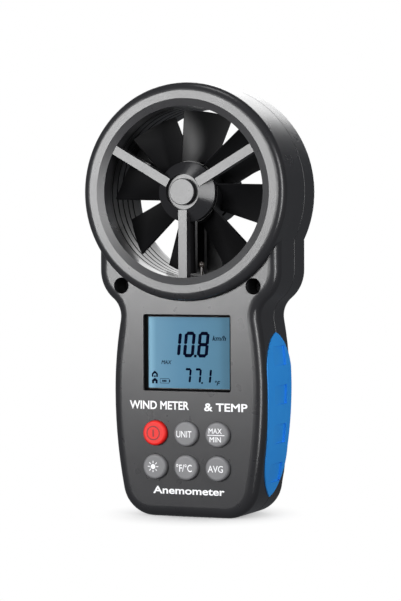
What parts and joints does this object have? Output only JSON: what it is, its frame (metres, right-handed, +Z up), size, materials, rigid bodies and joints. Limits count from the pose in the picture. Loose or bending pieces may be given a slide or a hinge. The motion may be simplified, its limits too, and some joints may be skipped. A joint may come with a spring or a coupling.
{
  "type": "handheld anemometer",
  "caption": "Upright handheld weather meter: a ducted impeller ring on a waisted handle with a display, round keys and soft side grips.",
  "frame": {"origin": "under the middle of the handle at its base, centred on width and depth", "axes": "+Z up along the handle to the ring, +Y from the display face to the back, +X to the right as seen from the front"},
  "size_m": [0.0826, 0.035, 0.165],
  "materials": {
    "case": "fine satin spark texture, charcoal",
    "duct_gloss": "polished black",
    "inner_black": "black satin",
    "blade_black": "black satin, smooth",
    "steel": "ground",
    "brass": "turned",
    "magnet": "dull dark grey",
    "board_green": "solder mask",
    "chip_black": "moulded",
    "wire_grey": "wire jacket",
    "bead": "glossy bead",
    "window_clear": "clear polished",
    "lcd_glass": "grey-blue display with dark segments",
    "light_guide": "clear light guide",
    "silicone_grey": "silicone",
    "key_grey": "satin silicone, grey with white legends",
    "key_red": "satin silicone, red with a dark legend",
    "battery_skin": "printed steel jacket",
    "battery_core": "moulded end plates",
    "foam": "soft foam",
    "grip_blue": "soft moulded, blue",
    "screw_black": "black oxide"
  },
  "bodies": {
    "housing": {"front_case": "case", "rear_case": "case", "duct_liner": "duct_gloss", "front_spider": "case", "front_hub_cap": "case", "rear_spider": "inner_black", "rear_hub_cover": "inner_black", "front_bearing": "brass", "rear_bearing": "brass", "hall_board": "board_green", "hall_sensor": "chip_black", "sensor_cable": "wire_grey", "thermistor": "bead", "lcd_window": "window_clear", "lcd_frame": "inner_black", "lcd_panel": "lcd_glass", "backlight_panel": "light_guide", "zebra_strip": "silicone_grey", "main_board": "board_green", "controller_chip": "chip_black", "board_components": "chip_black", "board_screws": "steel", "keypad_mat": "silicone_grey", "carbon_pills": "magnet", "battery_jacket": "battery_skin", "battery": "battery_core", "battery_snap": "chip_black", "battery_leads": "wire_grey", "battery_foam": "foam", "left_grip": "grip_blue", "right_grip": "grip_blue", "shoulder_screws": "screw_black", "lower_case_screws": "screw_black", "tripod_insert": "brass"},
    "rotor": {"impeller": "blade_black", "impeller_shaft": "steel", "sensor_magnet": "magnet"},
    "door": {"battery_cover": "case"},
    "power_key_body": {"power_key": "key_red"},
    "unit_key_body": {"unit_key": "key_grey"},
    "max_min_key_body": {"max_min_key": "key_grey"},
    "backlight_key_body": {"backlight_key": "key_grey"},
    "temperature_unit_key_body": {"temperature_unit_key": "key_grey"},
    "average_key_body": {"average_key": "key_grey"}
  },
  "joints": [
    {"name": "impeller_spin", "type": "hinge", "parent": "housing", "child": "rotor", "pos_m": [0, 0, 0.12365], "axis": [0, 1, 0], "continuous": true},
    {"name": "power_key_press", "type": "slide", "parent": "housing", "child": "power_key_body", "axis": [0, 1, 0], "range_m": [0, 0.0008], "stiffness_N_per_m": 900, "deforming": ["keypad_mat"]},
    {"name": "unit_key_press", "type": "slide", "parent": "housing", "child": "unit_key_body", "axis": [0, 1, 0], "range_m": [0, 0.0008], "stiffness_N_per_m": 900, "deforming": ["keypad_mat"]},
    {"name": "max_min_key_press", "type": "slide", "parent": "housing", "child": "max_min_key_body", "axis": [0, 1, 0], "range_m": [0, 0.0008], "stiffness_N_per_m": 900, "deforming": ["keypad_mat"]},
    {"name": "backlight_key_press", "type": "slide", "parent": "housing", "child": "backlight_key_body", "axis": [0, 1, 0], "range_m": [0, 0.0008], "stiffness_N_per_m": 900, "deforming": ["keypad_mat"]},
    {"name": "temperature_unit_key_press", "type": "slide", "parent": "housing", "child": "temperature_unit_key_body", "axis": [0, 1, 0], "range_m": [0, 0.0008], "stiffness_N_per_m": 900, "deforming": ["keypad_mat"]},
    {"name": "average_key_press", "type": "slide", "parent": "housing", "child": "average_key_body", "axis": [0, 1, 0], "range_m": [0, 0.0008], "stiffness_N_per_m": 900, "deforming": ["keypad_mat"]},
    {"name": "battery_door_swing", "type": "hinge", "parent": "housing", "child": "door", "pos_m": [0, 0.0175, 0.0066], "axis": [-1, 0, 0], "range_deg": [0, 80]}
  ]
}
